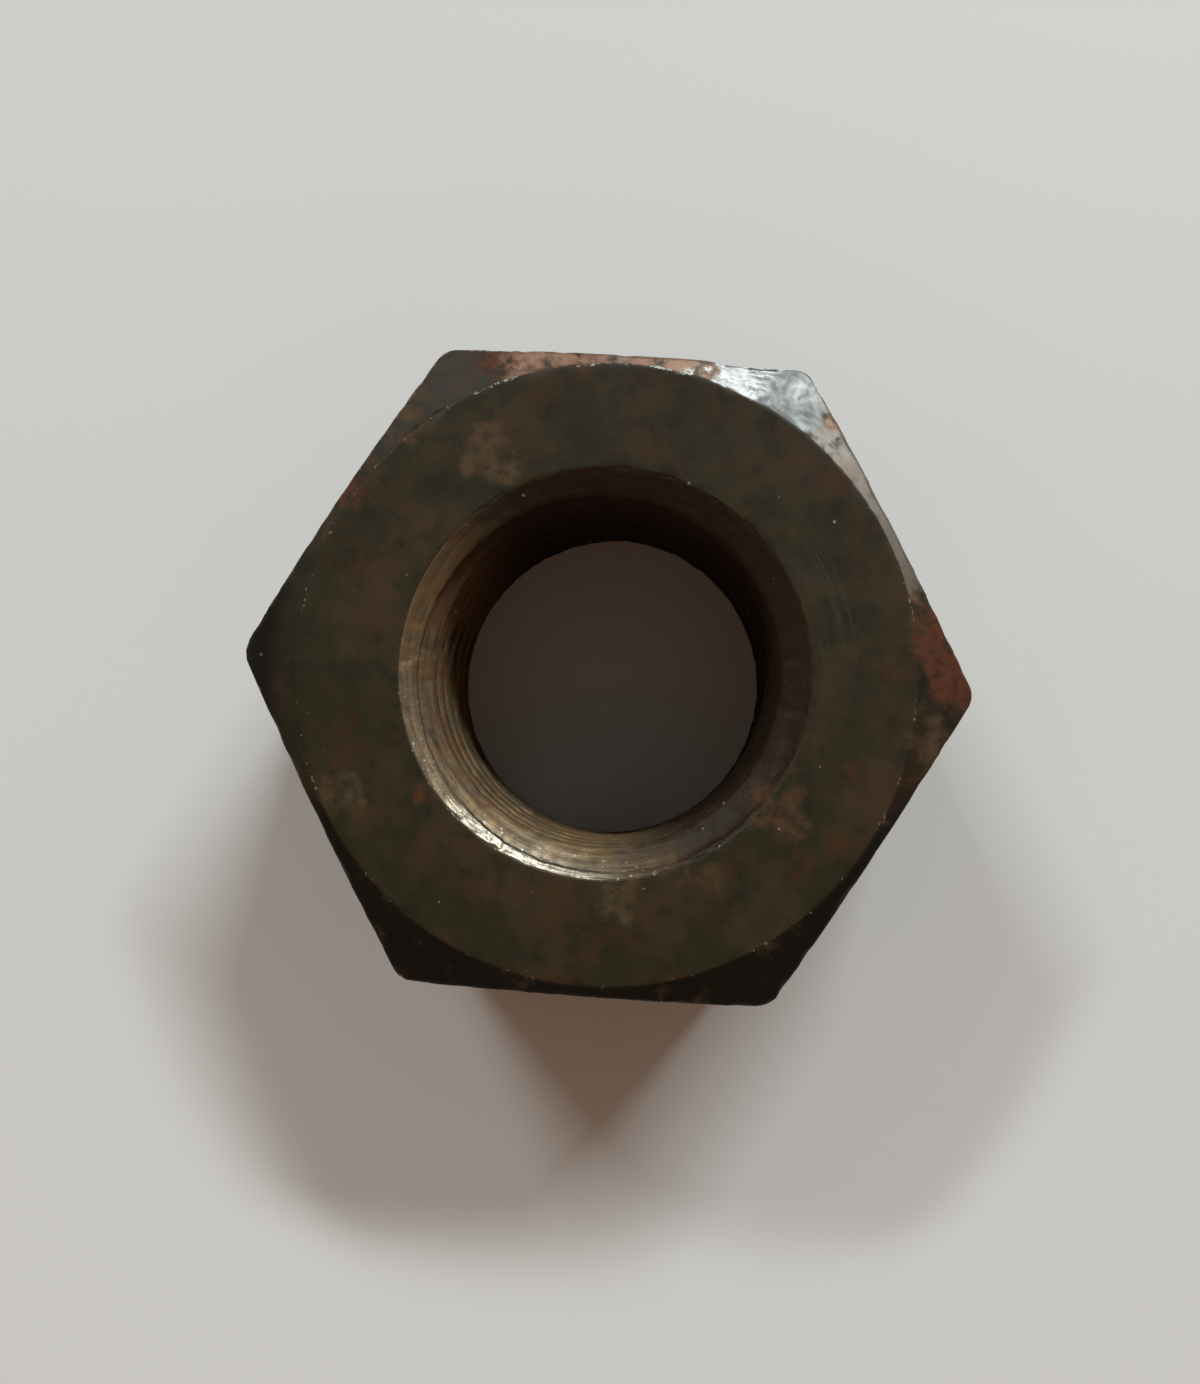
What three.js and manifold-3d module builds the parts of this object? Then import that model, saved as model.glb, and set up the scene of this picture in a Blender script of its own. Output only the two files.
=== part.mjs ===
// Heavy hexagon nut of the structural series, M20 x 2.5, right-hand thread, as one forged piece.
// Millimetres. +Z runs along the thread's axis, +X points at a corner, and the origin is the
// centre of the lower bearing face.
import * as THREE from "three";
import { mergeVertices } from "three/addons/utils/BufferGeometryUtils.js";
import Module from "manifold-3d";

const wasm = await Module();
wasm.setup();

const radians = THREE.MathUtils.degToRad;
const fullTurn = 2 * Math.PI;
const halfCorner = radians(30); // azimuth from a corner of a hexagon to the middle of a side

// Hexagonal blank
const acrossFlats = 32;
const thickness = 16;
const cornerRounding = 1.1; // radius of the six upright edges
const chamferInset = 0.6; // from a flat in to the bearing circle
const chamferSlope = radians(18.5); // measured from the end face

// Thread, with 60 degree flanks
const majorDiameter = 20;
const pitch = 2.5;
const threadDepth = 0.54 * pitch;
const rootFlat = pitch / 8; // width of the flat at the bottom of the groove
const flankSlope = radians(30);
const grooveExit = radians(0); // azimuth where the groove's middle meets the upper face

// Countersunk mouths, 120 degrees included
const mouthOversize = 0.4; // mouth diameter over the major diameter
const countersinkSlope = radians(30); // measured from the end face

// Fineness of the round stretches
const threadSteps = 48; // steps in one turn of the thread and of the bore
const chamferSteps = 96;
const cornerSteps = 4;

const cutMargin = 1; // how far a cutter or an envelope runs past what it cuts
const grooveOverlap = 0.1 * pitch; // how far the groove's cutter reaches into the bore
const runOutTurns = 1; // turns of the groove's cutter past each face

const minorRadius = majorDiameter / 2 - threadDepth;
const mouthRadius = (majorDiameter + mouthOversize) / 2;
const bearingRadius = acrossFlats / 2 - chamferInset;
const cornerReach = acrossFlats / 2 / Math.cos(halfCorner);

const steel = new THREE.MeshStandardMaterial({
  color: 0x3a342c,
  roughness: 0.5,
  metalness: 0.85,
  flatShading: true,
});

// A closed three.js geometry as a solid that can be joined and cut.
function solidFrom(geometry) {
  const bare = geometry.clone();
  bare.deleteAttribute("normal");
  bare.deleteAttribute("uv");
  const merged = mergeVertices(bare);
  return new wasm.Manifold(
    new wasm.Mesh({
      numProp: 3,
      vertProperties: new Float32Array(merged.attributes.position.array),
      triVerts: new Uint32Array(merged.index.array),
    }),
  );
}

// A solid back as a three.js geometry.
function geometryFrom(solid) {
  const mesh = solid.getMesh();
  const geometry = new THREE.BufferGeometry();
  geometry.setAttribute("position", new THREE.BufferAttribute(mesh.vertProperties, 3));
  geometry.setIndex(new THREE.BufferAttribute(mesh.triVerts, 1));
  geometry.computeVertexNormals();
  return geometry;
}

// A profile of [radius, height] points, from the axis below to the axis above, turned about +Z.
function turned(profile, steps) {
  const points = profile.map(([radius, height]) => new THREE.Vector2(radius, height));
  return new THREE.LatheGeometry(points, steps).rotateX(Math.PI / 2);
}

// The hexagonal bar, with its upright edges rounded.
function hexagonBar() {
  const centreDistance = (acrossFlats / 2 - cornerRounding) / Math.cos(halfCorner);
  const outline = new THREE.Shape();
  for (let corner = 0; corner < 6; corner += 1) {
    const azimuth = (corner * fullTurn) / 6;
    outline.absarc(
      centreDistance * Math.cos(azimuth),
      centreDistance * Math.sin(azimuth),
      cornerRounding,
      azimuth - halfCorner,
      azimuth + halfCorner,
    );
  }
  outline.closePath();
  return new THREE.ExtrudeGeometry(outline, {
    depth: thickness,
    bevelEnabled: false,
    curveSegments: cornerSteps,
  });
}

// The round envelope that chamfers the bar's corners at both ends.
function chamferEnvelope() {
  const rimRadius = cornerReach + cutMargin;
  const drop = (rimRadius - bearingRadius) * Math.tan(chamferSlope);
  return turned(
    [
      [0, 0],
      [bearingRadius, 0],
      [rimRadius, drop],
      [rimRadius, thickness - drop],
      [bearingRadius, thickness],
      [0, thickness],
    ],
    chamferSteps,
  );
}

// The minor bore with a countersunk mouth at each end.
function countersunkBore() {
  const slope = Math.tan(countersinkSlope);
  const depth = (mouthRadius - minorRadius) * slope;
  const outerRadius = mouthRadius + cutMargin / slope;
  return turned(
    [
      [0, -cutMargin],
      [outerRadius, -cutMargin],
      [minorRadius, depth],
      [minorRadius, thickness - depth],
      [outerRadius, thickness + cutMargin],
      [0, thickness + cutMargin],
    ],
    threadSteps,
  );
}

// The groove between the threads: a trapezium swept down a right-hand helix, past both faces.
function threadGroove() {
  const innerRadius = minorRadius - grooveOverlap;
  const outerRadius = majorDiameter / 2;
  const halfRoot = rootFlat / 2;
  const halfOpening = halfRoot + (outerRadius - innerRadius) * Math.tan(flankSlope);
  const section = [
    [innerRadius, halfOpening],
    [outerRadius, halfRoot],
    [outerRadius, -halfRoot],
    [innerRadius, -halfOpening],
  ];
  const sides = section.length;
  const steps = Math.ceil((thickness / pitch + 2 * runOutTurns) * threadSteps);
  const positions = [];
  for (let step = 0; step <= steps; step += 1) {
    const azimuth = grooveExit - (step / threadSteps) * fullTurn;
    const height = thickness + (runOutTurns - step / threadSteps) * pitch;
    for (const [radius, rise] of section) {
      positions.push(radius * Math.cos(azimuth), radius * Math.sin(azimuth), height + rise);
    }
  }
  const last = steps * sides;
  const faces = [0, 1, 2, 0, 2, 3, last, last + 2, last + 1, last, last + 3, last + 2];
  for (let step = 0; step < steps; step += 1) {
    for (let side = 0; side < sides; side += 1) {
      const here = step * sides + side;
      const next = step * sides + ((side + 1) % sides);
      faces.push(next, here, here + sides, next, here + sides, next + sides);
    }
  }
  const geometry = new THREE.BufferGeometry();
  geometry.setAttribute("position", new THREE.Float32BufferAttribute(positions, 3));
  geometry.setIndex(faces);
  return geometry;
}

function nutBody() {
  const blank = solidFrom(hexagonBar()).intersect(solidFrom(chamferEnvelope()));
  const tap = solidFrom(countersunkBore()).add(solidFrom(threadGroove()));
  const mesh = new THREE.Mesh(geometryFrom(blank.subtract(tap)), steel);
  mesh.name = "nut_body";
  return mesh;
}

const nut = new THREE.Group();
nut.add(nutBody());

export default nut;
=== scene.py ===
"""A worn, rusted structural hex nut on a pale table, seen from straight above.

Shapes are worked out in millimetres and written to Blender in metres. The nut's axis is Z, +X points
at a corner of the hexagon, and z = 0 is the lower bearing face.
"""

import math

import bpy
import numpy as np
from mathutils import Matrix, Vector, noise


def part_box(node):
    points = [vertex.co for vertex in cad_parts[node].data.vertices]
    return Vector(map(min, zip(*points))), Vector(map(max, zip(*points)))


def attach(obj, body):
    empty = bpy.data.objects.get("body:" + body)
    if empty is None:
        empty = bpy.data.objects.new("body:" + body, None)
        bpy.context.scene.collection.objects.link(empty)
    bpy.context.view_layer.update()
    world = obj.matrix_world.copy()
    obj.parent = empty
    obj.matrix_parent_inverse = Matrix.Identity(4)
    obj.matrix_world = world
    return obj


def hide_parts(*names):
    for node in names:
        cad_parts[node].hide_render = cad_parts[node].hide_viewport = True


MM = 0.001

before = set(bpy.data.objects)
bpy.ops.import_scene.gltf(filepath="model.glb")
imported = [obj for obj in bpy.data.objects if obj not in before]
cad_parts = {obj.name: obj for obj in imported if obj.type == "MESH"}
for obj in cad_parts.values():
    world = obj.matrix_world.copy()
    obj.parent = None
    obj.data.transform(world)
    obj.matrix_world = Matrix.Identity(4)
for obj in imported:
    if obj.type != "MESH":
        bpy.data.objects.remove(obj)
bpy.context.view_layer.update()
low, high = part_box("nut_body")

# The hexagonal blank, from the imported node's box.
THICKNESS = (high.z - low.z) / MM
FLAT_RADIUS = (high.y - low.y) / 2 / MM
CORNER_RADIUS = high.x / MM
HALF_CORNER = math.radians(30)
SHARP_RADIUS = FLAT_RADIUS / math.cos(HALF_CORNER)
CORNER_ROUNDING = (SHARP_RADIUS - CORNER_RADIUS) / (1 / math.cos(HALF_CORNER) - 1)

# Chamfers, thread and countersinks, as in the CAD model.
BEARING_RADIUS = FLAT_RADIUS - 0.6
CHAMFER_FALL = math.tan(math.radians(18.5))
MAJOR_RADIUS = 10.0
PITCH = 2.5
MINOR_RADIUS = MAJOR_RADIUS - 0.54 * PITCH
HALF_ROOT = PITCH / 16
MOUTH_RADIUS = MAJOR_RADIUS + 0.2
SINK_RISE = 1 / math.tan(math.radians(30))
GROOVE_EXIT = math.radians(0)

# How the edges are worn round: the length taken off each side of an edge.
MOUTH_WEAR = 0.10
BEARING_WEAR = 0.12
OUTER_WEAR = 0.20
CREST_WEAR = 0.22

# How deep the damage goes, at most.
ROLLING_DEPTH = 0.04
PIT_DEPTH = 0.03
CHIP_DEPTH = 0.06
SCALE_DEPTH = 0.05
SCRAPE_DEPTH = 0.04
CREASE_DEPTH = 0.08
CRUMPLE_DEPTH = 0.16

# Fineness of the mesh.
COLUMNS_PER_CORNER = 60
CORNER_CROWDING = 0.6
ROWS_PER_PITCH = 22
FACE_ROWS = 20
CHAMFER_ROWS = 14
SIDE_ROWS = 32
EDGE_ROWS = 5


def smooth_step(low_edge, high_edge, value):
    """0 below low_edge, 1 above high_edge and a smooth rise between. The edges may be swapped."""
    t = np.clip((value - low_edge) / (high_edge - low_edge), 0, 1)
    return t * t * (3 - 2 * t)


def larger(a, b, blend):
    """The larger of a and b, with the corner between them rounded over about blend."""
    return (a + b + np.sqrt((a - b) ** 2 + blend**2)) / 2


def smaller(a, b, blend):
    return -larger(-a, -b, blend)


# ---------------------------------------------------------------- outline and profiles


def column_azimuths():
    """Azimuth of each column of vertices, closer together at the six corners."""
    step = np.arange(COLUMNS_PER_CORNER) / COLUMNS_PER_CORNER - 0.5
    eased = (1 - CORNER_CROWDING) * step + 4 * CORNER_CROWDING * step**3
    return np.concatenate([(corner + eased) * math.pi / 3 for corner in range(6)])


def from_corner(azimuth):
    """Angle from the nearest corner of the hexagon, between -30 and 30 degrees."""
    sixth = math.pi / 3
    return (azimuth + sixth / 2) % sixth - sixth / 2


def outline_radius(azimuth):
    """Distance from the axis to the rounded hexagon."""
    turn = np.abs(from_corner(azimuth))
    centre = (FLAT_RADIUS - CORNER_ROUNDING) / math.cos(HALF_CORNER)
    flat = FLAT_RADIUS / np.cos(HALF_CORNER - turn)
    inside = np.clip(CORNER_ROUNDING**2 - (centre * np.sin(turn)) ** 2, 0, None)
    arc = centre * np.cos(turn) + np.sqrt(inside)
    arc_end = math.atan2(
        CORNER_ROUNDING * math.sin(HALF_CORNER),
        centre + CORNER_ROUNDING * math.cos(HALF_CORNER),
    )
    return np.where(turn < arc_end, arc, flat)


def bore_radius(azimuth, height):
    """Distance from the axis to the thread or the countersink, whichever is further out."""
    sink = MOUTH_RADIUS - np.minimum(height, THICKNESS - height) * SINK_RISE
    lead = THICKNESS + PITCH * (azimuth - GROOVE_EXIT) / (2 * math.pi)
    from_groove = np.abs((height - lead + PITCH / 2) % PITCH - PITCH / 2)
    flank = MAJOR_RADIUS - (from_groove - HALF_ROOT) * SINK_RISE
    groove = smaller(flank, MAJOR_RADIUS, CREST_WEAR)
    thread = larger(groove, MINOR_RADIUS, CREST_WEAR)
    return larger(thread, sink, CREST_WEAR)


def rounded_path(points, cuts, straights):
    """Rows along a path of (radius, height) corners, where each inner corner is a small curve.

    Each point is a (columns, 2) array. cuts holds what each inner corner loses on either side, and
    straights how many steps each straight stretch takes. Also gives each row's share of edge.
    """
    rows, edge = [points[0]], [0.0]
    last = points[0]
    for index, cut in enumerate(cuts):
        before, corner, after = points[index : index + 3]
        back = before - corner
        ahead = after - corner
        start = corner + back * cut / np.linalg.norm(back, axis=1, keepdims=True)
        end = corner + ahead * cut / np.linalg.norm(ahead, axis=1, keepdims=True)
        for step in range(1, straights[index] + 1):
            rows.append(last + (start - last) * step / straights[index])
            edge.append(0.0)
        edge[-1] = 0.5
        for step in range(1, EDGE_ROWS + 1):
            t = step / EDGE_ROWS
            rows.append(start * (1 - t) ** 2 + corner * 2 * t * (1 - t) + end * t**2)
            edge.append(1.0 if step < EDGE_ROWS else 0.5)
        last = end
    for step in range(1, straights[-1] + 1):
        rows.append(last + (points[-1] - last) * step / straights[-1])
        edge.append(0.0)
    return np.stack(rows), np.array(edge)


# ---------------------------------------------------------------- the two grids of vertices


def to_points(radius, azimuth, height):
    return np.stack(
        [radius * np.cos(azimuth), radius * np.sin(azimuth), height + 0 * radius], axis=-1
    )


def outer_grid():
    """Faces, chamfers and flats, from the upper mouth round the outside to the lower mouth."""
    azimuth = column_azimuths()
    outline = outline_radius(azimuth)
    one = np.ones_like(azimuth)
    fall = (outline - BEARING_RADIUS) * CHAMFER_FALL
    inset = 2 * MOUTH_WEAR * math.sin(HALF_CORNER)
    corners = [
        (bore_radius(azimuth, THICKNESS - inset), (THICKNESS - inset) * one),
        (MOUTH_RADIUS * one, THICKNESS * one),
        (BEARING_RADIUS * one, THICKNESS * one),
        (outline, THICKNESS - fall),
        (outline, fall),
        (BEARING_RADIUS * one, 0 * one),
        (MOUTH_RADIUS * one, 0 * one),
        (bore_radius(azimuth, inset), inset * one),
    ]
    rows, edge = rounded_path(
        [np.stack(corner, axis=-1) for corner in corners],
        [MOUTH_WEAR, BEARING_WEAR, OUTER_WEAR, OUTER_WEAR, BEARING_WEAR, MOUTH_WEAR],
        [1, FACE_ROWS, CHAMFER_ROWS, SIDE_ROWS, CHAMFER_ROWS, FACE_ROWS, 1],
    )
    points = to_points(rows[..., 0], azimuth[None], rows[..., 1])
    on_corner = smooth_step(math.radians(2.4), math.radians(1.2), np.abs(from_corner(azimuth)))
    on_side = rows[..., 0] > outline[None] - 0.01
    wear = np.maximum(edge[:, None] + 0 * azimuth[None], on_corner[None] * on_side)
    count, columns = wear.shape
    index = np.arange(count * columns).reshape(count, columns)
    index = np.concatenate([index, index[:, :1]], axis=1)
    return points.reshape(-1, 3), wear.reshape(-1), index


def bore_grid():
    """Countersinks and thread. The rows follow the helix, so the last column joins one turn up."""
    azimuth = column_azimuths()
    inset = 2 * MOUTH_WEAR * math.sin(HALF_CORNER)
    floor, ceiling = inset, THICKNESS - inset
    turns = THICKNESS / PITCH + 2
    row = np.arange(-int(turns * ROWS_PER_PITCH), 2 * ROWS_PER_PITCH)
    gap = PITCH / ROWS_PER_PITCH
    lead = THICKNESS + PITCH * (azimuth - GROOVE_EXIT) / (2 * math.pi)
    height = lead[None] + gap * row[:, None]
    height = np.where(height > ceiling - gap / 3, ceiling, height)
    height = np.where(height < floor + gap / 3, floor, height)
    radius = bore_radius(azimuth[None], height)
    points = to_points(radius, azimuth[None] + 0 * height, height)
    wear = 0.75 * smooth_step(MINOR_RADIUS + 0.22, MINOR_RADIUS + 0.05, radius)
    count, columns = radius.shape
    index = np.arange(count * columns).reshape(count, columns)
    turned = np.minimum(np.arange(count) + ROWS_PER_PITCH, count - 1)
    index = np.concatenate([index, index[turned, :1]], axis=1)
    return points.reshape(-1, 3), wear.reshape(-1), index[:-ROWS_PER_PITCH]


def quads(index):
    """The quads between neighbouring rows and columns, facing out of the metal."""
    upper, lower = index[:-1], index[1:]
    corners = [upper[:, :-1], lower[:, :-1], lower[:, 1:], upper[:, 1:]]
    return np.stack(corners, axis=-1).reshape(-1, 4)


def joined(points, faces):
    """Merges vertices that lie in the same place; a face keeps each of its vertices once."""
    _, first, same = np.unique(
        np.round(points, 4), axis=0, return_index=True, return_inverse=True
    )
    kept = []
    for face in same.reshape(-1)[faces].tolist():
        unique = list(dict.fromkeys(face))
        if len(unique) > 2:
            kept.append(unique)
    return first, kept


# ---------------------------------------------------------------- wear and damage


def noise_at(points, size, octaves=3, offset=0.0):
    """Fractal noise, about -1 to 1, with bumps of roughly size millimetres. offset moves the pattern."""
    shift = Vector((offset, 2.7 * offset, -1.3 * offset))
    scaled = points / size
    values = [noise.fractal(Vector(p) + shift, 1.0, 2.0, octaves) for p in scaled.tolist()]
    return np.array(values)


def polar(points):
    """Radius and azimuth in degrees, 0 to 360."""
    radius = np.hypot(points[:, 0], points[:, 1])
    return radius, np.degrees(np.arctan2(points[:, 1], points[:, 0])) % 360


def around(azimuth, first, last, fade):
    """1 between two azimuths, falling to 0 within fade degrees outside them."""
    middle = (first + last) / 2
    away = np.abs((azimuth - middle + 180) % 360 - 180)
    half = (last - first) / 2
    return smooth_step(half + fade, half, away)


def scraped_corner(points):
    """How far each point belongs to the corner that a wrench has slipped round, 0 to 1."""
    radius, azimuth = polar(points)
    ragged = 0.35 * noise_at(points, 1.3, 2, 4.0)
    on_corner = around(azimuth + 6 * ragged, 56, 70, 7)
    outside = smooth_step(BEARING_RADIUS - 0.05, BEARING_RADIUS + 0.15, radius)
    high_up = smooth_step(THICKNESS - 2.6, THICKNESS - 1.5, points[:, 2] + ragged)
    return on_corner * outside * high_up


def in_bore(points):
    """1 on the countersinks and the thread, 0 elsewhere."""
    radius, _ = polar(points)
    return smooth_step(MOUTH_RADIUS + 0.05, MOUTH_RADIUS - 0.05, radius)


def polished_and_lit(points):
    """The lower left of the upper countersink and the first thread, rubbed bright by the bolt and painted
    brighter still as painted light, most where the key light reflects.
    """
    _, azimuth = polar(points)
    depth = THICKNESS - points[:, 2]
    # Painted light on top of the polish, strongest at 238 to 258 degrees, where the key light reflects.
    share = 0.5 * around(azimuth, 195, 275, 40) + 0.5 * around(azimuth, 238, 258, 26)
    return in_bore(points) * share * smooth_step(2.2, 0.3, depth)


def lit_thread(points):
    """Painted light: the lower left of the thread, the side that the lights reach, painted golden brown.
    """
    _, azimuth = polar(points)
    return in_bore(points) * around(azimuth, 168, 258, 48)


def on_flank(points):
    """1 outside the bearing circle, 0 on the bearing faces and in the bore."""
    radius, _ = polar(points)
    return smooth_step(BEARING_RADIUS - 0.05, BEARING_RADIUS + 0.1, radius)


# Where rust has taken hold: azimuth in degrees, radius and size in millimetres, strength, redness.
RUST_PATCHES = [
    (3, 17.3, 2.6, 1.0, 1.0),
    (10, 16.9, 2.4, 0.9, 0.8),
    (351, 16.9, 2.0, 0.65, 0.2),
    (326, 10.8, 2.2, 0.6, 0.5),
    (300, 10.9, 1.6, 0.4, 0.4),
    (276, 11.1, 1.9, 0.6, 0.1),
    (217, 10.9, 0.8, 0.9, 1.0),
    (208, 14.0, 1.6, 0.6, 0.1),
    (160, 12.4, 2.6, 0.25, 0.7),
    (121, 12.2, 2.2, 0.65, 0.25),
    (340, 13.4, 2.2, 0.25, 0.8),
    (52, 16.5, 1.1, 1.0, 0.6),
    (148, 15.7, 1.8, 0.6, 0.8),
    (132, 16.0, 1.8, 0.6, 0.4),
    (113, 16.6, 1.6, 0.6, 0.9),
    (98, 15.9, 1.4, 0.5, 1.0),
    (73, 16.4, 0.9, 0.5, 0.8),
    (126, 17.3, 1.6, 0.5, 0.2),
    (292, 9.8, 1.1, 0.5, 0.3),
]
# Strength of the rust elsewhere, and how far the border of a patch wanders, in millimetres.
SIDE_RUST = 0.2
UPPER_LEFT_RUST = 0.32
THREAD_RUST = 0.5
RUST_WANDER = 0.9


def blob(points, azimuth, radius, size):
    """1 at a place seen from above, falling to 0 at size millimetres from it."""
    a = math.radians(azimuth)
    across = points[:, :2] - radius * np.array([math.cos(a), math.sin(a)])
    return smooth_step(size, 0.3 * size, np.hypot(across[:, 0], across[:, 1]))


def rusty_thread(points):
    """The crests of the thread on the left, 1 where they have rusted."""
    radius, azimuth = polar(points)
    crest = smooth_step(MOUTH_RADIUS - 0.6, MINOR_RADIUS + 0.3, radius)
    return in_bore(points) * crest * around(azimuth, 150, 225, 25)


def rust(points):
    """How readily each point has rusted, and how red the rust is, both 0 to 1."""
    amount = np.zeros(len(points))
    redness = np.full(len(points), 0.5)
    wander = [noise_at(points, 1.5, 3, offset) for offset in (21.0, 33.0, 45.0)]
    ragged = points + RUST_WANDER * np.stack(wander, axis=-1)
    for azimuth, radius, size, strength, red in RUST_PATCHES:
        patch = blob(ragged, azimuth, radius, size)
        redness += (red - redness) * patch
        amount = np.maximum(amount, strength * patch)
    _, azimuths = polar(points)
    upper_left = upper_chamfer(points) * around(azimuths, 108, 158, 8)
    amount = np.maximum(amount, UPPER_LEFT_RUST * upper_left)
    amount = np.maximum(amount, THREAD_RUST * rusty_thread(points))
    high_up = smooth_step(THICKNESS - 7, THICKNESS - 3, points[:, 2])
    amount = SIDE_RUST * on_flank(points) * (1 - high_up) + amount * high_up
    return amount, redness


def shaded_flanks(points):
    """Painted shade: the chamfers and flats are painted blacker than the faces, except on most of the
    upper chamfers.
    """
    radius, azimuth = polar(points)
    # Where the painted shade is mostly taken off: most of the upper chamfers, and beside the rim on the
    # left.
    beside_rim = around(azimuth, 155, 200, 12) * smooth_step(17.2, 16.0, radius)
    unshaded = upper_chamfer(points) * np.maximum(beside_rim, 0.7 * around(azimuth, -15, 150, 10))
    return on_flank(points) * (1 - 0.8 * unshaded)


def edge_wear_and_highlights(points, wear):
    """Edges are worn to bare steel mostly where the lights catch them and hardly at all elsewhere: partly
    real wear, partly painted highlights.
    """
    radius, azimuth = polar(points)
    mouth = 0.55 + 0.3 * around(azimuth, 200, 290, 40)
    rim = 0.78 + 0.15 * around(azimuth, 100, 140, 20)
    at_rim = smooth_step(11.5, 12.5, radius)
    lower_half = smooth_step(THICKNESS - 4, THICKNESS - 6, points[:, 2])
    upper_wear = wear * (mouth + (rim - mouth) * at_rim)
    return upper_wear + (0.8 * wear - upper_wear) * lower_half + 1.3 * nicks_and_glints(points)


def upper_chamfer(points):
    return on_flank(points) * smooth_step(THICKNESS - 2.5, THICKNESS - 1.2, points[:, 2])


def rubbed(points):
    """The two upper chamfers beside the scraped corner, rubbed pale."""
    _, azimuth = polar(points)
    stretch = np.maximum(0.9 * around(azimuth, 50, 108, 9), 1.1 * around(azimuth, 22, 46, 9))
    return upper_chamfer(points) * stretch


def rubbed_rust(points):
    """Where the rubbed chamfer is pink with rust, not grey."""
    _, azimuth = polar(points)
    pink = np.maximum(around(azimuth, 98, 122, 10), around(azimuth, 0, 14, 8))
    brownish = np.maximum(0.55 * around(azimuth, 72, 98, 8), 0.30 * around(azimuth, 18, 48, 6))
    return upper_chamfer(points) * np.maximum(pink, brownish)


def scuffed(points):
    """A patch of the upper face with pale marks along the turning."""
    radius, azimuth = polar(points)
    return around(azimuth, 12, 28, 12) * smooth_step(1.6, 0.4, np.abs(radius - 11.7))


def crumpled(points):
    """The part of the scraped corner where the steel is folded over in creases, painted brighter there,
    partly as a painted highlight on the creases.
    """
    _, azimuth = polar(points)
    return around(azimuth, 66, 80, 4)


# Small bright nicks, those on the upper rim partly there as painted glints: azimuth in degrees, radius
# and size in millimetres.
NICKS_AND_GLINTS = [
    (180.5, 17.3, 0.26),
    (284, 10.8, 0.24),
    (95, 15.6, 0.30),
    (91, 15.6, 0.35),
    (84, 15.6, 0.28),
    (78, 15.7, 0.45),
    (75, 16.0, 0.50),
    (49, 16.2, 0.30),
]


def nicks_and_glints(points):
    high_up = smooth_step(THICKNESS - 2, THICKNESS - 1, points[:, 2])
    return high_up * sum(blob(points, *nick) for nick in NICKS_AND_GLINTS)


def dents(points, normals, wear):
    """How far the metal has gone at each point, in millimetres. Never negative."""
    calm = np.maximum(smooth_step(0.97, 0.995, np.abs(normals[:, 2])), in_bore(points))
    rolling = ROLLING_DEPTH / 2 * (1 + noise_at(points, 6.0, 2))
    pits = PIT_DEPTH * smooth_step(0.25, 0.7, noise_at(points, 0.9, 2, 3.0))
    chips = CHIP_DEPTH * wear * smooth_step(-0.1, 0.6, noise_at(points, 0.8, 2, 7.0))
    scaly = SCALE_DEPTH * in_bore(points) * smooth_step(-0.1, 0.6, noise_at(points, 0.6, 2, 5.0))
    creased = 1 - np.abs(noise_at(points * [1.0, 1.6, 1.0], 1.4, 3, 11.0))
    creases = (CREASE_DEPTH + CRUMPLE_DEPTH * crumpled(points)) * np.clip(creased, 0, 1) ** 2
    hammered = scraped_corner(points) * (SCRAPE_DEPTH + creases)
    return (rolling + pits + chips / 2) * (1 - 0.8 * calm) + chips / 2 + scaly + hammered


# ---------------------------------------------------------------- the nut


def nut_surface():
    """The points, their wear and the faces of the whole nut, before it is dented."""
    outer_points, outer_wear, outer_index = outer_grid()
    bore_points, bore_wear, bore_index = bore_grid()
    points = np.concatenate([outer_points, bore_points])
    wear = np.concatenate([outer_wear, bore_wear])
    faces = np.concatenate([quads(outer_index), quads(bore_index + len(outer_points))])
    first, faces = joined(points, faces)
    return points[first], wear[first], faces


def nut_paint(points, wear):
    """What the material needs to know about each point, by name."""
    rust_amount, redness = rust(points)
    return {
        # Bare edges laid mostly where the lights catch them, partly painted highlights.
        "wear": edge_wear_and_highlights(points, wear),
        "turned": in_bore(points),
        # Polished by the bolt, and painted light on the lower left of the bore.
        "polished_and_lit": polished_and_lit(points),
        # Painted light: the lit lower left of the thread.
        "lit_thread": lit_thread(points),
        # Painted shade on the chamfers and flats.
        "shaded_flanks": shaded_flanks(points),
        "rust": rust_amount,
        "redness": redness,
        "rubbed": rubbed(points),
        "rubbed_rust": rubbed_rust(points),
        "scuffed": scuffed(points),
        "scraped": scraped_corner(points),
        "crumpled": crumpled(points),
    }


def make_nut(material):
    points, wear, faces = nut_surface()
    mesh = bpy.data.meshes.new("nut")
    mesh.from_pydata((points * MM).tolist(), [], faces)
    mesh.validate()
    mesh.update()
    normals = np.empty(len(points) * 3)
    mesh.vertices.foreach_get("normal", normals)
    normals = normals.reshape(-1, 3)
    worn = points - normals * dents(points, normals, wear)[:, None]
    mesh.vertices.foreach_set("co", (worn * MM).reshape(-1))
    mesh.shade_smooth()
    for name, values in nut_paint(points, wear).items():
        attribute = mesh.attributes.new(name, "FLOAT", "POINT")
        attribute.data.foreach_set("value", values.astype(np.float32))
    mesh.materials.append(material)
    mesh.update()
    nut = bpy.data.objects.new("nut", mesh)
    bpy.context.scene.collection.objects.link(nut)
    return nut


# ---------------------------------------------------------------- materials


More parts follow.
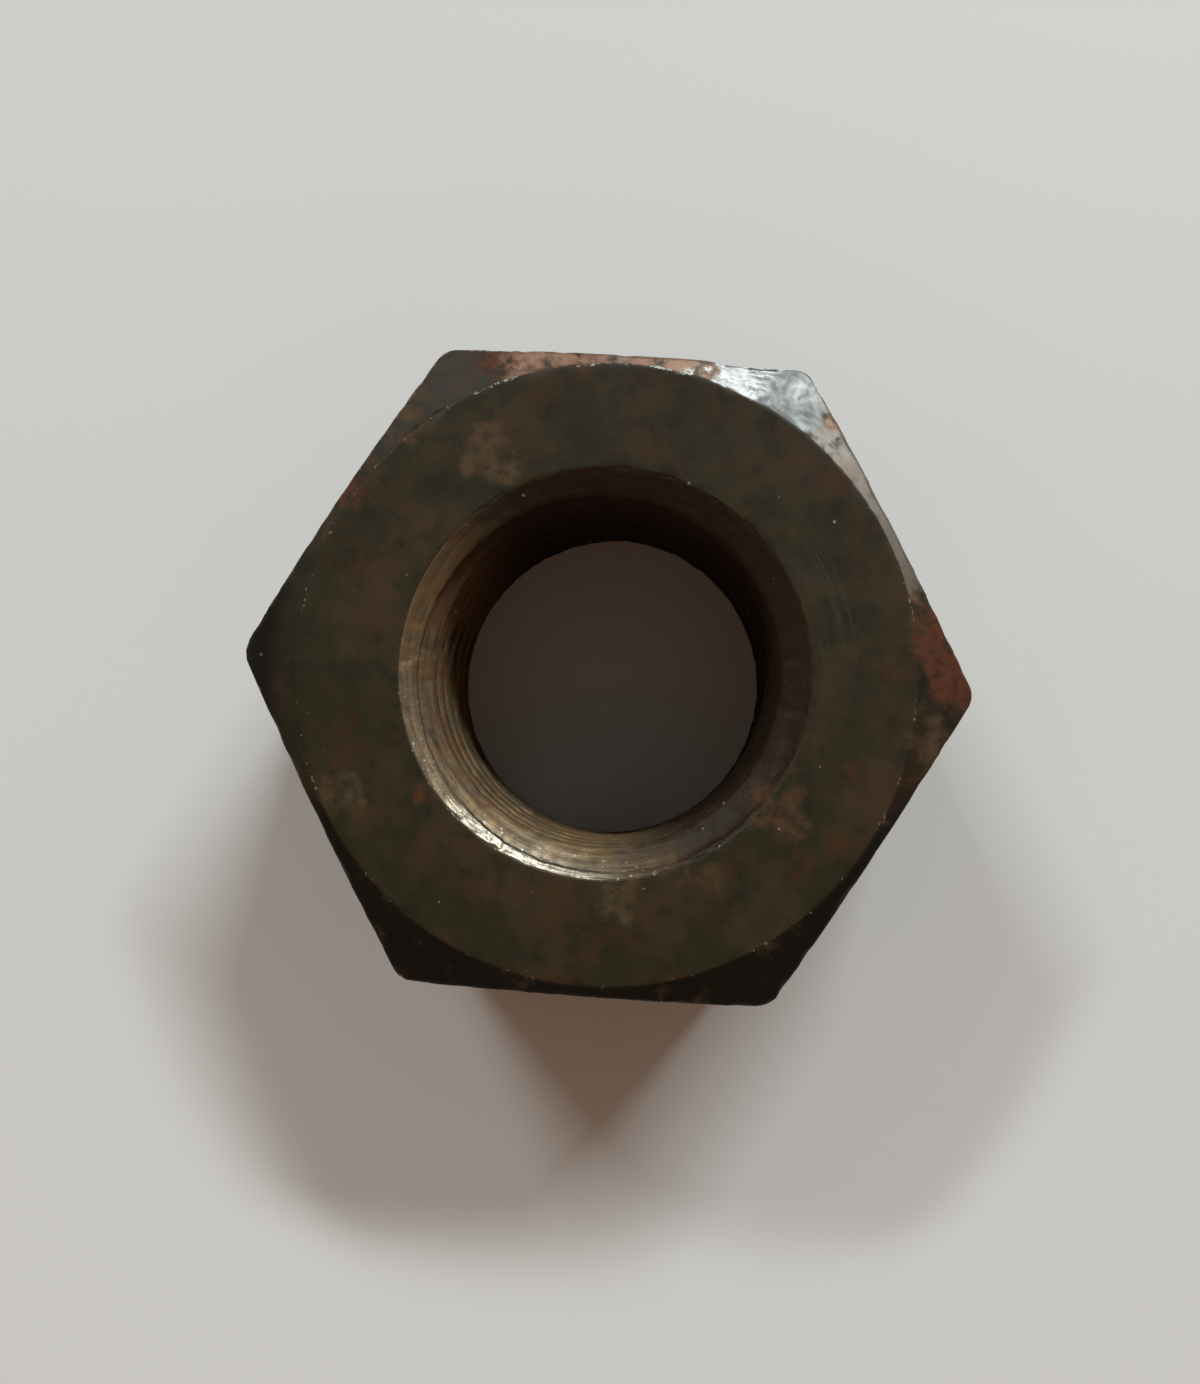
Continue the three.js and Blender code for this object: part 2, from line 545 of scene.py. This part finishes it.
class Graph:
    """Adds nodes to a material or a world. A method returns the new node's output socket."""

    def __init__(self, owner):
        owner.use_nodes = True
        self.nodes = owner.node_tree.nodes
        self.links = owner.node_tree.links

    def plug(self, socket, value):
        if isinstance(value, bpy.types.NodeSocket):
            self.links.new(value, socket)
        else:
            socket.default_value = value

    def millimetres(self):
        """The object's own coordinates, in millimetres."""
        place = self.nodes.new("ShaderNodeTexCoord").outputs["Object"]
        return self.vector("SCALE", place, scale=1 / MM)

    def vector(self, operation, first, second=None, scale=None):
        """A step of vector arithmetic. A length or a dot product comes out as a number."""
        node = self.nodes.new("ShaderNodeVectorMath")
        node.operation = operation
        self.plug(node.inputs[0], first)
        if second is not None:
            self.plug(node.inputs[1], second)
        if scale is not None:
            self.plug(node.inputs["Scale"], scale)
        gives_number = operation in ("LENGTH", "DOT_PRODUCT")
        return node.outputs["Value" if gives_number else "Vector"]

    def math(self, operation, first, second=0.0):
        node = self.nodes.new("ShaderNodeMath")
        node.operation = operation
        self.plug(node.inputs[0], first)
        self.plug(node.inputs[1], second)
        return node.outputs["Value"]

    def ragged(self, share, *noises):
        """A share with (noise, gain) pairs added to it, each noise taken about its middle."""
        for field, gain in noises:
            from_middle = self.math("SUBTRACT", field, 0.5)
            share = self.math("ADD", share, self.math("MULTIPLY", from_middle, gain))
        return share

    def rise(self, value, low_edge, high_edge, top=1.0):
        """0 up to low_edge, then a smooth climb to top at high_edge."""
        node = self.nodes.new("ShaderNodeMapRange")
        node.interpolation_type = "SMOOTHSTEP"
        self.plug(node.inputs["Value"], value)
        self.plug(node.inputs["From Min"], low_edge)
        self.plug(node.inputs["From Max"], high_edge)
        self.plug(node.inputs["To Max"], top)
        return node.outputs["Result"]

    def blend(self, share, first, second):
        """first where share is 0, second where share is 1, for plain values."""
        node = self.nodes.new("ShaderNodeMix")
        self.plug(node.inputs[0], share)
        self.plug(node.inputs[2], first)
        self.plug(node.inputs[3], second)
        return node.outputs[0]

    def colours(self, share, first, second):
        """first where share is 0, second where share is 1, for colours."""
        node = self.nodes.new("ShaderNodeMix")
        node.data_type = "RGBA"
        self.plug(node.inputs[0], share)
        for socket, colour in zip(node.inputs[6:8], (first, second)):
            self.plug(socket, (*colour, 1) if isinstance(colour, tuple) else colour)
        return node.outputs[2]

    def noise(self, place, per_mm, detail=4.0, roughness=0.55):
        node = self.nodes.new("ShaderNodeTexNoise")
        self.plug(node.inputs["Vector"], place)
        self.plug(node.inputs["Scale"], per_mm)
        self.plug(node.inputs["Detail"], detail)
        self.plug(node.inputs["Roughness"], roughness)
        return node.outputs["Fac"]

    def painted(self, name):
        """A share that was worked out for each vertex of the mesh."""
        node = self.nodes.new("ShaderNodeAttribute")
        node.attribute_name = name
        return node.outputs["Fac"]

    def specks(self, place, per_mm, size, keep):
        """Scattered dots of about size cells across, in a keep share of the cells."""
        node = self.nodes.new("ShaderNodeTexVoronoi")
        self.plug(node.inputs["Vector"], place)
        self.plug(node.inputs["Scale"], per_mm)
        dot = self.rise(node.outputs["Distance"], size, size * 0.5)
        split = self.nodes.new("ShaderNodeSeparateColor")
        self.plug(split.inputs[0], node.outputs["Color"])
        chosen = self.rise(split.outputs[0], 1 - keep, 1 - keep + 0.02)
        return self.math("MULTIPLY", dot, chosen)

    def around_axis(self, place, rings_per_mm, stretch):
        """Coordinates that change fast with the radius and slowly round the axis."""
        flat = self.vector("MULTIPLY", place, (1.0, 1.0, 0.0))
        turn = self.vector("SCALE", self.vector("NORMALIZE", flat), scale=stretch)
        rings = self.nodes.new("ShaderNodeCombineXYZ")
        radius = self.vector("LENGTH", flat)
        self.plug(rings.inputs["Z"], self.math("MULTIPLY", radius, rings_per_mm))
        return self.vector("ADD", turn, rings.outputs[0])


# Colours, as linear red, green and blue.
OLIVE_BLACK = (0.0230, 0.0205, 0.0085)
BROWN = (0.048, 0.028, 0.011)
RED_BROWN = (0.056, 0.022, 0.008)
STAIN = (0.010, 0.0075, 0.0035)
# Painted shade on the chamfers and flats.
FLANK_SHADE_BROWN = (0.006, 0.003, 0.0012)
# Painted shade: the dull dark brown of the bore, kept on its shaded side.
SHADED_TURNED_BROWN = (0.024, 0.013, 0.006)
OCHRE_RUST = (0.090, 0.058, 0.027)
RED_RUST = (0.105, 0.031, 0.012)
PALE_RUST = (0.238, 0.134, 0.092)
RUBBED_ORANGE = (0.190, 0.098, 0.055)
RUBBED_GREY = (0.180, 0.158, 0.136)
STEEL = (0.340, 0.335, 0.320)
SCRAPED_STEEL = (0.138, 0.138, 0.134)
# Creased steel, brightened partly as a painted highlight.
CRUMPLED_STEEL_AND_GLINTS = (0.450, 0.450, 0.445)
SCUFFED = (0.041, 0.037, 0.026)
# Polished steel, brightened as painted light where the key light reflects.
POLISHED_AND_LIT_STEEL = (0.280, 0.245, 0.190)
# Painted light: the golden browns of the thread's lit lower left.
LIT_THREAD_BROWN = (0.215, 0.152, 0.085)
LIT_THREAD_ORANGE = (0.205, 0.122, 0.056)
TABLE_WHITE = (0.800, 0.790, 0.775)

SPECULAR_LEVEL = 0.22
BUMP_HEIGHT = 0.08 * MM


class Noises:
    """The patterns that the layers of the nut's material share, each 0 to 1 and mostly near 0.5."""

    def __init__(self, graph):
        place = graph.millimetres()
        self.place = place
        self.broad = graph.noise(place, 0.24, 6.0, 0.55)
        self.reddening = graph.noise(place, 0.42, 7.0, 0.64)
        self.middle = graph.noise(place, 0.75, 5.0, 0.58)
        self.mottle = graph.noise(place, 1.8, 4.0, 0.6)
        self.fine = graph.noise(place, 5.0, 4.0, 0.6)
        self.arcs = graph.noise(graph.around_axis(place, 4.5, 2.0), 1.0, 3.0, 0.65)


class Look:
    """The colour, metallic share and roughness of a surface, built up one layer over another."""

    def __init__(self, graph, colour, roughness):
        self.graph = graph
        self.colour = colour
        self.metallic = 0.0
        self.roughness = roughness

    def cover(self, share, colour=None, metallic=None, roughness=None):
        """Lays a finish over the surface where share is 1. What isn't given stays as it is."""
        if colour is not None:
            self.colour = self.graph.colours(share, self.colour, colour)
        if metallic is not None:
            self.metallic = self.graph.blend(share, self.metallic, metallic)
        if roughness is not None:
            self.roughness = self.graph.blend(share, self.roughness, roughness)


def shaded_flank_share(graph, noises):
    """Where the chamfers and flats are painted blacker than the faces, as painted shade."""
    return graph.math("MULTIPLY", graph.painted("shaded_flanks"), graph.rise(noises.middle, 0.75, 0.55))


def scraped_share(graph, noises):
    """The scraped corner, with a ragged border."""
    return graph.rise(graph.ragged(graph.painted("scraped"), (noises.middle, 1.2)), 0.35, 0.75)


def lay_black_finish(graph, noises):
    """The black finish, browned and stained in soft patches and scuffed along the turning, with painted
    shade on the chamfers and flats.
    """
    roughness = graph.blend(graph.rise(noises.broad, 0.4, 0.7), 0.48, 0.64)
    look = Look(graph, OLIVE_BLACK, roughness)
    browning = graph.ragged(noises.broad, (noises.middle, 0.5))
    look.cover(graph.rise(browning, 0.36, 0.74), BROWN)
    look.cover(graph.rise(noises.reddening, 0.50, 0.72, 0.8), RED_BROWN)
    look.cover(graph.rise(noises.middle, 0.52, 0.24, 0.55), STAIN)
    look.cover(graph.rise(noises.arcs, 0.52, 0.80, 0.35), BROWN)
    scuffs = graph.math("MULTIPLY", graph.painted("scuffed"), graph.rise(noises.arcs, 0.48, 0.66))
    look.cover(scuffs, SCUFFED)
    # Painted shade: the chamfers and flats darker than the faces.
    look.cover(shaded_flank_share(graph, noises), FLANK_SHADE_BROWN)
    return look


def lay_turned_metal(graph, noises, look):
    """Metal that was turned or tapped: dull dark brown, which stays as painted shade on the shaded side,
    with painted light on the lower left, golden on the thread and bright where the bolt has also rubbed
    it.
    """
    # Painted shade: the bore is dull dark brown all round, left showing on its shaded side.
    look.cover(graph.painted("turned"), SHADED_TURNED_BROWN, roughness=0.5)
    streaks = graph.blend(0.45, noises.arcs, noises.middle)
    # Painted light: golden brown on the lower left of the thread, the side the lights reach.
    thread = graph.math("MULTIPLY", graph.painted("lit_thread"), graph.rise(streaks, 0.28, 0.60))
    lit_thread_colour = graph.colours(graph.rise(noises.middle, 0.42, 0.60), LIT_THREAD_BROWN, LIT_THREAD_ORANGE)
    look.cover(thread, lit_thread_colour, metallic=0.5)
    # Bright steel on the lower left of the countersink: partly polish, partly painted light.
    polish_and_light = graph.ragged(graph.painted("polished_and_lit"), (noises.arcs, 1.1), (noises.middle, 0.9))
    look.cover(graph.rise(polish_and_light, 0.30, 1.10), POLISHED_AND_LIT_STEEL, metallic=0.9, roughness=0.3)


def lay_rust(graph, noises, look):
    """Rust, in ragged patches. Gives how thick it is, for the layer over it."""
    thickness = graph.ragged(
        graph.painted("rust"), (noises.middle, 1.1), (noises.mottle, 0.9), (noises.fine, 0.5)
    )
    redness = graph.ragged(graph.painted("redness"), (noises.fine, 1.0))
    colour = graph.colours(graph.rise(redness, 0.1, 0.9), OCHRE_RUST, RED_RUST)
    colour = graph.colours(graph.rise(noises.mottle, 0.52, 0.30, 0.5), colour, STAIN)
    look.cover(graph.rise(thickness, 0.15, 0.95, 0.9), colour, metallic=0.0, roughness=0.75)
    return thickness


def lay_rubbed_metal(graph, noises, look, rust_thickness):
    """Pale worn metal, pink and orange with rust, on the chamfers that rub."""
    rubbed = graph.ragged(graph.painted("rubbed"), (noises.middle, 1.2), (noises.mottle, 1.2))
    pinkness = graph.ragged(graph.painted("rubbed_rust"), (noises.reddening, 1.0))
    colour = graph.colours(graph.rise(pinkness, 0.2, 0.8), RUBBED_GREY, PALE_RUST)
    colour = graph.colours(graph.rise(rust_thickness, 0.35, 0.95, 0.7), colour, RUBBED_ORANGE)
    look.cover(graph.rise(rubbed, 0.45, 1.05, 0.95), colour, metallic=0.75, roughness=0.48)


def lay_bare_steel(graph, noises, look):
    """Bare steel on worn edges, thread crests, the scraped corner and in a few specks; on the edges and
    the creased corner it also stands in for painted highlights.
    """
    worn = graph.ragged(graph.painted("wear"), (noises.middle, 1.3), (noises.fine, 2.0))
    worn = graph.rise(worn, 1.02, 1.30, 0.85)
    specks = graph.specks(noises.place, 1.1, 0.10, 0.14)
    glints = graph.specks(noises.place, 3.5, 0.3, 0.4)
    glints = graph.math("MULTIPLY", glints, graph.rise(graph.painted("polished_and_lit"), 0.2, 0.6))
    bare = graph.math("MAXIMUM", graph.math("MAXIMUM", worn, specks), glints)
    look.cover(bare, STEEL)
    scraped = scraped_share(graph, noises)
    # Brighter steel on the creases, partly painted highlight.
    bright_creases_and_glints = graph.math("MULTIPLY", graph.painted("crumpled"), graph.rise(noises.middle, 0.35, 0.6))
    look.cover(scraped, graph.colours(bright_creases_and_glints, SCRAPED_STEEL, CRUMPLED_STEEL_AND_GLINTS))
    shine = graph.blend(noises.middle, 0.25, 0.75)
    look.cover(graph.math("MAXIMUM", bare, scraped), metallic=0.95, roughness=shine)


def relief(graph, noises):
    """The normal, bumped by the grain, the turning marks and the creases of the scraped corner."""
    turned = graph.painted("turned")
    creases = graph.math("SUBTRACT", graph.noise(noises.place, 1.1, 2.0, 0.5), 0.5)
    creases = graph.math("ABSOLUTE", creases)
    crumpling = graph.blend(graph.painted("crumpled"), 1.5, 7.0)
    crumpling = graph.math("MULTIPLY", scraped_share(graph, noises), crumpling)
    height = graph.math("MULTIPLY", noises.fine, graph.blend(turned, 0.3, 0.25))
    height = graph.math("ADD", height, graph.math("MULTIPLY", noises.arcs, 0.7))
    height = graph.math("ADD", height, graph.math("MULTIPLY", creases, crumpling))
    outside = graph.blend(shaded_flank_share(graph, noises), 0.12, 0.4)
    bump = graph.nodes.new("ShaderNodeBump")
    bump.inputs["Distance"].default_value = BUMP_HEIGHT
    graph.plug(bump.inputs["Strength"], graph.blend(turned, outside, 0.9))
    graph.plug(bump.inputs["Height"], height)
    return bump.outputs["Normal"]


def nut_material():
    """Blackened steel: brown patches and rust, with bare metal where it is turned, worn or scraped,
    painted shade on the chamfers and flats and painted light on the lower left of the bore.
    """
    material = bpy.data.materials.new("nut_steel")
    graph = Graph(material)
    noises = Noises(graph)
    look = lay_black_finish(graph, noises)
    lay_turned_metal(graph, noises, look)
    rust_thickness = lay_rust(graph, noises, look)
    lay_rubbed_metal(graph, noises, look, rust_thickness)
    lay_bare_steel(graph, noises, look)
    shader = graph.nodes["Principled BSDF"]
    graph.plug(shader.inputs["Base Color"], look.colour)
    graph.plug(shader.inputs["Metallic"], look.metallic)
    graph.plug(shader.inputs["Roughness"], look.roughness)
    graph.plug(shader.inputs["Normal"], relief(graph, noises))
    shader.inputs["Specular IOR Level"].default_value = SPECULAR_LEVEL
    return material


def floor_material():
    material = bpy.data.materials.new("table")
    shader = Graph(material).nodes["Principled BSDF"]
    shader.inputs["Base Color"].default_value = (*TABLE_WHITE, 1)
    shader.inputs["Roughness"].default_value = 0.6
    return material


# ---------------------------------------------------------------- stage, lights and camera


# Half the side of the floor and the distance of the lights in metres, and how high the lights stand.
HALF_FLOOR = 1.5
LIGHT_DISTANCE = 3.0
LIGHT_ELEVATION = math.radians(38)


def make_floor():
    mesh = bpy.data.meshes.new("floor")
    corners = [(x * HALF_FLOOR, y * HALF_FLOOR, 0) for x, y in [(-1, -1), (1, -1), (1, 1), (-1, 1)]]
    mesh.from_pydata(corners, [], [(0, 1, 2, 3)])
    mesh.materials.append(floor_material())
    floor = bpy.data.objects.new("floor", mesh)
    bpy.context.scene.collection.objects.link(floor)


def make_light(name, azimuth, width, height, power, colour):
    """A soft rectangular light that points at the nut."""
    light = bpy.data.lights.new(name, "AREA")
    light.shape = "RECTANGLE"
    light.size = width
    light.size_y = height
    light.energy = power
    light.color = colour
    a = math.radians(azimuth)
    e = LIGHT_ELEVATION
    place = Vector((math.cos(a) * math.cos(e), math.sin(a) * math.cos(e), math.sin(e)))
    lamp = bpy.data.objects.new(name, light)
    lamp.location = place * LIGHT_DISTANCE
    lamp.rotation_euler = place.to_track_quat("Z", "Y").to_euler()
    bpy.context.scene.collection.objects.link(lamp)


UP = (0.0, 0.0, 1.0)
# The direction of the dimmest part of the room, and the light from there, from all round it and from
# the pale wall behind the table.
OVERHEAD = (0.0, 0.30, 0.95)
DIM_LIGHT = (0.110, 0.110, 0.102)
WARM_LIGHT = (0.232, 0.132, 0.082)
WALL_LIGHT = (0.500, 0.470, 0.440)


def make_world():
    """Warm light from all sides, dimmer and greyer overhead, with a pale band at the horizon."""
    world = bpy.data.worlds.new("studio")
    graph = Graph(world)
    direction = graph.nodes.new("ShaderNodeTexCoord").outputs["Generated"]
    overhead = graph.rise(graph.vector("DOT_PRODUCT", direction, OVERHEAD), 0.70, 0.97)
    light = graph.colours(overhead, WARM_LIGHT, DIM_LIGHT)
    wall = graph.rise(graph.vector("DOT_PRODUCT", direction, UP), 0.34, 0.10)
    light = graph.colours(wall, light, WALL_LIGHT)
    graph.plug(graph.nodes["Background"].inputs["Color"], light)
    bpy.context.scene.world = world


# The camera: its lens and sensor in millimetres, its turns about X, Y and Z in degrees, and where it sees
# the middle of the upper face, along its own axes.
LENS = 33.8
SENSOR_WIDTH = 36
TILT = (-2.73, -1.84, -3.80)
FACE_SEEN_AT = Vector((0.21, 0.99, -64.1)) * MM


def make_camera():
    """The camera hangs over the nut, nearly square to it."""
    data = bpy.data.cameras.new("camera")
    data.lens = LENS
    data.sensor_width = SENSOR_WIDTH
    data.clip_start = 5 * MM
    tilt = Matrix.Identity(3)
    for degrees, axis in zip(TILT, "XYZ"):
        tilt = tilt @ Matrix.Rotation(math.radians(degrees), 3, axis)
    turn = tilt.transposed()
    top = Vector((0, 0, high.z))
    camera = bpy.data.objects.new("camera", data)
    camera.matrix_world = Matrix.Translation(top - turn @ FACE_SEEN_AT) @ turn.to_4x4()
    bpy.context.scene.collection.objects.link(camera)
    bpy.context.scene.camera = camera


bpy.context.scene.view_settings.view_transform = "Standard"
make_camera()
make_floor()
make_world()
make_light("key_light", 66, width=1.20, height=0.24, power=62.5, colour=(0.875, 0.98, 1.0))
make_light("fill_light", 125, width=0.75, height=0.20, power=29.0, colour=(0.90, 0.98, 0.98))

nut = make_nut(nut_material())
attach(nut, "root")
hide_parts("nut_body")
